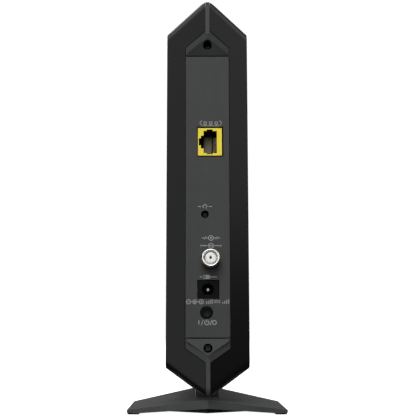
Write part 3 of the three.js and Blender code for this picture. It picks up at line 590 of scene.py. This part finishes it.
def cable_marks(marks):
    """A coaxial section with its lead, and a globe below for the wide-area network."""
    marks.at(1.7, -23.7)
    marks.arc(1.25, BOLD)
    marks.disc(0.45)
    for side in (1, -1):
        marks.level(side * 1.8, side * 4.6, BOLD)
    for side in SIDES:
        marks.line((side * 3.0 - 0.4, -0.8), (side * 3.0 + 0.4, 0.8), 0.32)
    marks.at(1.7, -27.75)
    marks.globe(width=MEDIUM, meridian=0.30, equator=0.32)
    for side in SIDES:
        marks.level(side * 2.1, side * 5.2, BOLD)
        marks.disc(0.5, x=side * 5.2)


def supply_mark(marks):
    """A plug with two blades and its lead."""
    marks.at(0.2, -44.2)
    marks.poly([(-1.2, -1.05), (0.3, -1.05), (0.95, -0.75), (1.25, 0),
                (0.95, 0.75), (0.3, 1.05), (-1.2, 1.05)])
    for z in (0.6, -0.6):
        marks.level(-2.5, -1.3, BOLD, z)
    marks.level(1.5, 4.3, BOLD)
    marks.level(-4.2, -3.4, BOLD)


def polarity_marks(marks):
    """Polarity of the plug, outside minus and centre plus, then direct current."""
    row_z, sign_x = -57.15, 3.35
    marks.at(-6.75, row_z)
    for side in SIDES:
        marks.arc(1.12, LIGHT, x=side * sign_x)
        marks.rect(*around(side * sign_x, 0.6), -0.16, 0.16)
    marks.rect(*around(sign_x, 0.16), -0.6, 0.6)
    marks.arc(1.05, LIGHT, 40, 320)
    marks.disc(0.55)
    marks.level(-2.05, -1.3, LIGHT)
    marks.level(0.45, 2.0, LIGHT)
    # a bar over three dashes, between two groups of growing strokes
    marks.at(4.9, row_z)
    marks.rect(-1.7, 1.7, 0.28, 0.62)
    for k in (-1, 0, 1):
        marks.rect(*around(k * 1.25, 0.42), -0.62, -0.28)
    for left in (-5.9, 2.7):
        for i in range(4):
            height = 2 * (0.55 + 0.22 * i)
            marks.rect(left + i, left + i + 0.42, -1.05, -1.05 + height)


def switch_mark(marks):
    """On and off."""
    marks.at(-0.75, -67.85)
    marks.line((-3.9, -1.0), (-3.9, 1.0), BOLD)
    marks.line((-2.6, -1.25), (-1.75, 1.25), LIGHT)
    marks.arc(1.15, BOLD, 125, 415, x=0.2)
    marks.line((0.2, 0.25), (0.2, 1.35), BOLD)
    marks.line((1.95, -1.25), (2.8, 1.25), LIGHT)
    marks.arc(1.0, BOLD, x=4.15)


def port_marks():
    marks = Marks(PANEL_Y, 1)
    for draw in (network_mark, restart_mark, cable_marks, supply_mark, polarity_marks,
                 switch_mark):
        draw(marks)
    marks.done("port_marks")


def indicator_marks():
    """One mark below each of the five indicator windows."""
    marks = Marks(FASCIA_Y, -1)
    top_window, window_pitch, drop = 46, 13, 5.2
    mark_z = [top_window - window_pitch * i - drop for i in range(5)]
    marks.at(0, mark_z[0])
    marks.arc(1.2, LIGHT, 125, 415)
    marks.line((0, 0.3), (0, 1.4), LIGHT)
    # arrows, down and up
    for z, up in ((mark_z[1], -1), (mark_z[2], 1)):
        marks.at(0, z)
        marks.line((0, -1.2), (0, 1.2), LIGHT)
        for side in SIDES:
            marks.line((side * 0.9, up * 0.4), (0, up * 1.3), LIGHT)
    marks.at(0, mark_z[3])
    marks.globe(width=0.3, meridian=0.26, equator=0.26)
    marks.at(0, mark_z[4])
    for side in SIDES:
        marks.station(side * 1.3, half=0.65, width=0.3, bars=((-1.0, -0.7), (0.0, 0.3)))
    marks.rect(-0.7, 0.7, 0.7, 1.0)
    marks.done("indicator_marks")


port_marks()
indicator_marks()

# ------------------------------------------------------------ coax connector
COAX_X, COAX_Z = -1.4, MID_Z - 34.8
BARREL_R = 9.53 / 2
BORE_R = 3.25
SOCKET_R = 1.25           # narrow hole behind the bore
COLLAR_R = BARREL_R + 0.22
THREAD_DEPTH, THREAD_PITCH = 0.46, 0.794
THREAD_SIDES, ROWS_PER_TURN = 56, 7


def thread_surface(mesh, y_low, y_high):
    """Helical thread as one sheet of quads, faded out at both ends; gives the end rings."""
    rows = int((y_high - y_low) / THREAD_PITCH * ROWS_PER_TURN)
    rings = []
    for k in range(rows + 1):
        y = y_low + (y_high - y_low) * k / rows
        fade = (min(1.0, (y - y_low) / (0.6 * THREAD_PITCH))
                * min(1.0, (y_high - y) / (0.8 * THREAD_PITCH)))
        verts = []
        for i in range(THREAD_SIDES):
            turn = 2 * math.pi * i / THREAD_SIDES
            phase = ((y - y_low) / THREAD_PITCH - i / THREAD_SIDES) % 1.0
            crest = abs(2 * phase - 1)           # 1 at the crest, 0 in the root
            cut = THREAD_DEPTH * min(1.0, max(0.0, (0.86 - crest) / 0.72))
            radius = BARREL_R - cut * fade
            verts.append(mesh.verts.new((COAX_X + radius * math.cos(turn), y,
                                         COAX_Z + radius * math.sin(turn))))
        rings.append(verts)
    bridge_all(mesh, rings)
    return rings[0], rings[-1]


def coax_connector():
    """Threaded barrel with its bore, a plain collar and a square base."""
    low, high = box_mm("coax_connector_body")
    tip = high[1]
    bore_floor = 56.0 + SHIFT_Y
    # (radius, y) over the tip and down the bore
    tip_side = [
        (BARREL_R - 0.04, tip - 0.5), (BARREL_R - 0.34, tip - 0.10),
        (BARREL_R - 0.44, tip - 0.02), (BARREL_R - 0.55, tip), (3.98, tip), (3.90, tip - 0.02),
        (3.82, tip - 0.08), (3.34, tip - 0.50), (BORE_R, tip - 0.66), (BORE_R, bore_floor),
        (SOCKET_R, bore_floor), (SOCKET_R, 50.0 + SHIFT_Y)]
    # (radius, y) from the thread's inner end over the collar
    base_side = [(BARREL_R, 56.2 + SHIFT_Y), (COLLAR_R, 56.0 + SHIFT_Y),
                 (COLLAR_R, 54.9 + SHIFT_Y), (COLLAR_R, 51.2 + SHIFT_Y)]
    mesh = bmesh.new()
    base_ring, tip_ring = thread_surface(mesh, 57.0 + SHIFT_Y, tip - 0.62)
    for start, stations in ((tip_ring, tip_side), (base_ring, base_side)):
        rings = [start] + [ring(mesh, radius, y, COAX_X, COAX_Z, THREAD_SIDES)
                           for radius, y in stations]
        bridge_all(mesh, rings)
        mesh.faces.new(rings[-1])
    block(mesh, (low[0], high[0]), (low[1], 52.4 + SHIFT_Y), around(COAX_Z, 6.4),
          bevel=0.35, segments=3)
    finish_mesh("coax_connector_threaded", mesh, [MATS["nickel"]], "modem",
                "coax_connector_body", smooth=32)


def coax_dielectric(face):
    """White insulator with a rounded rim and a hole through it; face is its outer y."""
    back = 56.2 + SHIFT_Y
    profile = [   # (radius, y)
        (0.68, face - 0.85), (0.68, face - 0.1), (0.76, face - 0.02), (0.86, face),
        (2.56, face), (2.66, face - 0.03), (2.74, face - 0.12), (2.74, face - 2.2),
        (3.12, face - 2.3), (3.12, back), (1.15, back), (1.15, face - 0.85)]
    finish_mesh("coax_dielectric", lathe(profile, COAX_X, COAX_Z), [MATS["white_plastic"]],
                "modem", "coax_insulator")


def coax_contact(face):
    """Hollow spring clip, set back in the hole of the insulator; its dark metal is painted shade
    for the depth of the hole.
    """
    low, high = box_mm("coax_centre_contact")
    radius = min(0.62, (high[0] - low[0]) / 2)
    bore = radius - 0.12
    tip = min(high[1], face - 0.9)
    profile = [   # (radius, y)
        (0, tip - 3.4), (bore, tip - 3.4), (bore, tip - 0.1), (radius - 0.06, tip),
        (radius, tip - 0.06), (radius, low[1] + 0.05), (radius - 0.05, low[1]), (0, low[1])]
    finish_mesh("coax_contact_clip", lathe(profile, COAX_X, COAX_Z, sides=48), [CONTACT_PAINTED_SHADE],
                "modem", "coax_centre_contact")


coax_connector()
INSULATOR_FACE = box_mm("coax_insulator")[1][1]
coax_dielectric(INSULATOR_FACE)
coax_contact(INSULATOR_FACE)


# ------------------------------------------------- power button, reset collar
def power_button():
    """Round cap with a dished face and a flange at its inner end."""
    low, high = box_mm("power_button_cap")
    inner, outer = low[1], high[1]
    dished_face = [   # (radius, depth below the rim)
        (0, 0.42), (0.9, 0.40), (1.7, 0.30), (2.05, 0.16), (2.2, 0.05), (2.34, 0.005), (2.52, 0),
        (2.72, 0.05), (2.88, 0.16), (2.97, 0.32), (3.0, 0.55), (3.0, 5.5), (3.06, 5.62),
        (4.02, 5.65), (4.1, 5.75)]
    hollow_back = [   # (radius, height above the inner end)
        (4.1, 0.08), (4.02, 0), (2.5, 0), (2.5, 3.0), (0, 3.0)]
    profile = ([(radius, outer - depth) for radius, depth in dished_face]
               + [(radius, inner + height) for radius, height in hollow_back])
    finish_mesh("power_button_dished", lathe(profile, 0.7, MID_Z - 62.7), [MATS["button"]],
                "power_button", "power_button_cap", smooth=38)


def reset_collar():
    """Dark guide collar round the plunger, between the switch and the panel."""
    low, high = box_mm("reset_plunger")
    inner = box_mm("reset_switch_body")[1][1] + 0.05
    outer = 54.2 + SHIFT_Y - 0.05
    profile = [(2.2, inner), (2.2, outer), (2.8, outer), (2.8, inner)]
    mesh = lathe(profile, (low[0] + high[0]) / 2, (low[2] + high[2]) / 2, sides=48)
    finish_mesh("reset_guide_collar", mesh, [MATS["black_plastic"]], "modem")


power_button()
reset_collar()

# -------------------------------------------------------------- network jack
CONTACT_PITCH = 1.02
CONTACTS_Z = MID_Z + 28.1
WIRE_PATH = [   # (x, y in the drawing), from the opening inwards
    (-6.02, 54.28), (-6.20, 54.08), (-6.18, 53.86), (-6.02, 53.6), (-5.2, 51.8), (-4.2, 49.6),
    (-3.3, 47.6), (-3.08, 47.0), (-3.12, 46.6), (-3.32, 46.1), (-3.36, 45.95)]


def ribbon(mesh, path, z, half_width, thickness):
    """A wire of rounded square section along a path (x, y) in a plane of constant z."""
    flare = 1.08          # corner radius over half size
    turns = [math.radians(22.5 + 45 * i) for i in range(8)]
    section = [(math.cos(turn) * thickness / 2 * flare, math.sin(turn) * half_width * flare)
               for turn in turns]
    rings = []
    for k, (x, y) in enumerate(path):
        before, after = path[max(0, k - 1)], path[min(len(path) - 1, k + 1)]
        along = Vector((after[0] - before[0], after[1] - before[1])).normalized()
        rings.append([mesh.verts.new((x - along.y * out, y + along.x * out + SHIFT_Y, z + up))
                      for out, up in section])
    bridge_all(mesh, rings)
    mesh.faces.new(rings[0])
    mesh.faces.new(rings[-1])


def jack_contacts():
    """Eight contact wires with a black bar across their outer ends."""
    mesh = bmesh.new()
    for i in range(8):
        ribbon(mesh, WIRE_PATH, CONTACTS_Z + (i - 3.5) * CONTACT_PITCH,
               half_width=0.19, thickness=0.26)
    block(mesh, (-6.34, -5.86), (53.56 + SHIFT_Y, 54.30 + SHIFT_Y), around(CONTACTS_Z, 3.95),
          bevel=0.06, segments=2, material=1)
    finish_mesh("ethernet_contact_wires", mesh, [WIRE_GOLD, MATS["black_plastic"]],
                "ethernet_contacts", "ethernet_jack_contacts", smooth=50)


def jack_back_wall():
    """Wall that closes the inner end of the plug cavity."""
    mesh = bmesh.new()
    block(mesh, (-2.5, 1.98), (43.25 + SHIFT_Y, 43.95 + SHIFT_Y), (MID_Z + 22.13, MID_Z + 34.1),
          bevel=0.12, segments=2)
    finish_mesh("ethernet_jack_back_wall", mesh, [KHAKI], "modem")


jack_contacts()
jack_back_wall()

# ------------------------------------------------ small parts on the board
BOARD_LOW, BOARD_HIGH = box_mm("main_circuit_board")
BOARD_X = BOARD_LOW[0]
SEAT_X = BOARD_X - 0.02   # where added parts meet the board
NOT_ON_BOARD = ("main_circuit_board", "left_side_shell", "right_side_shell", "center_frame",
                "stand", "port_panel", "front_fascia")


def taken_areas():
    """(y low, y high, z low, z high) of the CAD pieces on the component side, with a margin."""
    margin = 0.7
    areas = []
    for name in NODES:
        if name in NOT_ON_BOARD:
            continue
        low, high = box_mm(name)
        if low[0] < BOARD_X + 0.2 and high[0] > BOARD_X - 3.0:
            areas.append((low[1] - margin, high[1] + margin, low[2] - margin, high[2] + margin))
    return areas


def is_free(y, z, half, areas):
    """Whether a square round (y, z) is on the board and clear of the taken areas."""
    (y_low, y_high), (z_low, z_high) = around(y, half), around(z, half)
    if y_low < BOARD_LOW[1] + 1.5 or y_high > BOARD_HIGH[1] - 4.5:
        return False
    if z_low < BOARD_LOW[2] + 1.5 or z_high > BOARD_HIGH[2] - 1.5:
        return False
    return not any(y_low < area[1] and y_high > area[0] and z_low < area[3] and z_high > area[2]
                   for area in areas)


def draws(state):
    """Endless fractions from a linear congruential generator."""
    while True:
        state = (state * 1103515245 + 12345) % 2147483648
        yield state / 2147483648.0


def small_part(mesh, y, z, kind):
    """A chip part with two end caps; kind (0 to 1) picks its lie, size and material."""
    upright = kind > 0.5
    length, width, thick = (0.8, 0.42, 0.45) if kind < 0.75 else (1.0, 0.62, 0.75)
    half_y, half_z = (width, length) if upright else (length, width)
    block(mesh, (SEAT_X - thick, SEAT_X), around(y, half_y * 0.62), around(z, half_z * 0.62),
          bevel=0.05, segments=1, material=0 if (kind * 7) % 1 < 0.55 else 1)
    for side in SIDES:
        if upright:
            cap_y, cap_z = around(y, half_y), around(z + side * half_z * 0.8, 0.2)
        else:
            cap_y, cap_z = around(y + side * half_y * 0.8, 0.2), around(z, half_z)
        block(mesh, (SEAT_X - thick - 0.03, SEAT_X), cap_y, cap_z,
              bevel=0.04, segments=1, material=2)


def board_small_parts():
    """Small parts scattered on a grid over the free room of the component side."""
    mesh = bmesh.new()
    areas = taken_areas()
    chance = draws(12345)
    for row in range(44):
        for column in range(30):
            pick, kind = next(chance), next(chance)
            y = BOARD_LOW[1] + 2.4 + column * 3.2
            z = BOARD_LOW[2] + 2.4 + row * 3.1
            if pick > 0.36 or not is_free(y, z, 1.1, areas):
                continue
            small_part(mesh, y, z, kind)
            areas.append(around(y, 1.2) + around(z, 1.2))
    finish_mesh("board_small_parts", mesh, [SMALL_BODY, SMALL_TAN, SOLDER], "modem", smooth=30)


# (chip, lead pitch, axes along which its leads stick out: 1 is Y, 2 is Z)
CHIP_LEADS = [
    ("modem_processor", 1.0, (1, 2)), ("memory_chip_1", 0.8, (2,)), ("memory_chip_2", 0.8, (2,)),
    ("flash_chip", 1.27, (2,)), ("tuner_chip", 0.65, (1, 2)),
]


def chip_leads():
    """Each lead is a level shoulder and a foot that stands on the board."""
    mesh = bmesh.new()
    shoulder = (SEAT_X - 0.62, SEAT_X - 0.42), 0, 0.45      # x span, reach from the chip
    foot = (SEAT_X - 0.60, SEAT_X), 0.35, 0.75
    for chip, pitch, out_axes in CHIP_LEADS:
        low, high = box_mm(chip)
        for out_axis in out_axes:
            row_axis = 3 - out_axis
            count = int((high[row_axis] - low[row_axis] - 1.0) / pitch)
            start = (low[row_axis] + high[row_axis]) / 2 - (count - 1) * pitch / 2
            for i in range(count):
                row_span = around(start + i * pitch, 0.14)
                for side, face in ((-1, low[out_axis]), (1, high[out_axis])):
                    for x_span, near, far in (shoulder, foot):
                        out_span = sorted((face + side * near, face + side * far))
                        spans = (row_span, out_span) if row_axis == 1 else (out_span, row_span)
                        block(mesh, x_span, *spans, bevel=0.03, segments=1)
    finish_mesh("chip_leads", mesh, [SOLDER], "modem", smooth=30)


def capacitor_tops():
    """Bare metal discs on the ends of the bulk capacitors."""
    mesh = bmesh.new()
    for k in (1, 2, 3):
        low, high = box_mm("bulk_capacitor_%d" % k)
        y, z = (low[1] + high[1]) / 2, (low[2] + high[2]) / 2
        cylinder(mesh, (low[0] - 0.05, y, z), (low[0] + 0.3, y, z),
                 radius=3.55, sides=40, chamfer=0.12)
    finish_mesh("capacitor_tops", mesh, [SOLDER], "modem", smooth=30)


board_small_parts()
chip_leads()
capacitor_tops()


# --------------------------------------------------------- staging, in metres
def pale_floor():
    """Glowing white floor, seen by the camera but casting no light on the modem."""
    mesh = bmesh.new()
    bmesh.ops.create_grid(mesh, x_segments=8, y_segments=8, size=30.0)
    data = bpy.data.meshes.new("floor")
    mesh.to_mesh(data)
    mesh.free()
    floor = bpy.data.objects.new("floor", data)
    bpy.context.scene.collection.objects.link(floor)
    shader = Shader("pale_floor")
    tone = shader.remap(shader.noise(size_mm=60, detail=3.0), span=(0.3, 0.7))
    data.materials.append(shader.finish({
        "Base Color": shader.mix(tone, (0.86, 0.86, 0.86, 1), (0.90, 0.90, 0.90, 1)),
        "Roughness": 0.9, "Specular IOR Level": 0.0,
        "Emission Color": (1, 1, 1, 1), "Emission Strength": 1.0}))
    floor.visible_diffuse = False
    floor.visible_glossy = False
    floor.visible_transmission = False


def studio_world():
    """White to the camera, nearly dark as a light."""
    world = bpy.data.worlds.new("studio")
    bpy.context.scene.world = world
    world.use_nodes = True
    nodes, links = world.node_tree.nodes, world.node_tree.links
    nodes.clear()
    output = nodes.new("ShaderNodeOutputWorld")
    mixer = nodes.new("ShaderNodeMixShader")
    camera_ray = nodes.new("ShaderNodeLightPath").outputs["Is Camera Ray"]
    links.new(camera_ray, mixer.inputs[0])
    fill, backdrop = ((0.96, 0.98, 1.0, 1), 0.02), ((1, 1, 1, 1), 1.05)
    for i, (color, strength) in ((1, fill), (2, backdrop)):
        background = nodes.new("ShaderNodeBackground")
        background.inputs["Color"].default_value = color
        background.inputs["Strength"].default_value = strength
        links.new(background.outputs[0], mixer.inputs[i])
    links.new(mixer.outputs[0], output.inputs[0])


LIGHT_TARGET = Vector((0, 0.03, 0.115))
SOFTBOXES = [   # name, place, (width, height), radiance
    ("key", (0.42, 2.9, 2.15), (1.9, 1.9), 6.6),
    ("camera_card", (0.10, 1.75, 0.40), (1.0, 0.5), 4.2),
    ("side_left", (1.9, 0.75, 0.25), (1.6, 2.6), 0.43),
    ("side_right", (-1.9, 0.75, 1.05), (1.6, 1.6), 0.5),
    ("rim_left", (1.5, -0.25, 1.5), (0.9, 0.9), 1.0),
    ("rim_left_back", (0.75, -1.4, 1.45), (0.9, 0.9), 0.88),
    ("rim_right", (-1.5, -0.25, 1.5), (0.9, 0.9), 0.66),
    ("back_top", (0.0, -1.75, 1.5), (4.2, 1.1), 0.15),
    ("back_low", (0.0, -2.6, 1.05), (4.4, 1.3), 0.125),
    ("front_left", (1.5, -1.9, 0.7), (1.0, 1.6), 4.5),
    ("front_right", (-1.5, -1.7, 0.7), (0.9, 1.6), 4.9),
]


def softbox(name, place, size, radiance):
    """A rectangular studio light aimed at the modem."""
    data = bpy.data.lights.new(name, "AREA")
    data.shape = "RECTANGLE"
    data.size, data.size_y = size
    data.energy = math.pi * size[0] * size[1] * radiance
    light = bpy.data.objects.new(name, data)
    bpy.context.scene.collection.objects.link(light)
    light.location = place
    aim = LIGHT_TARGET - Vector(place)
    light.rotation_euler = aim.to_track_quat("-Z", "Y").to_euler()


def port_camera():
    """Looks at the port panel from +Y, low down and tilted up a little."""
    tilt_up = 8.388       # degrees
    data = bpy.data.cameras.new("camera")
    camera = bpy.data.objects.new("camera", data)
    bpy.context.scene.collection.objects.link(camera)
    camera.location = (0.00585, 0.4835 + SHIFT_Y * MM, 0.0467)
    camera.rotation_euler = (math.radians(90 + tilt_up), 0, math.radians(180))
    data.sensor_width = 36            # millimetres, as is the lens
    data.lens = 70.4691346
    data.shift_x = 0.0274
    data.clip_start, data.clip_end = 0.01, 50
    bpy.context.scene.camera = camera
    bpy.context.scene.view_settings.view_transform = "Standard"


pale_floor()
studio_world()
for entry in SOFTBOXES:
    softbox(*entry)
port_camera()
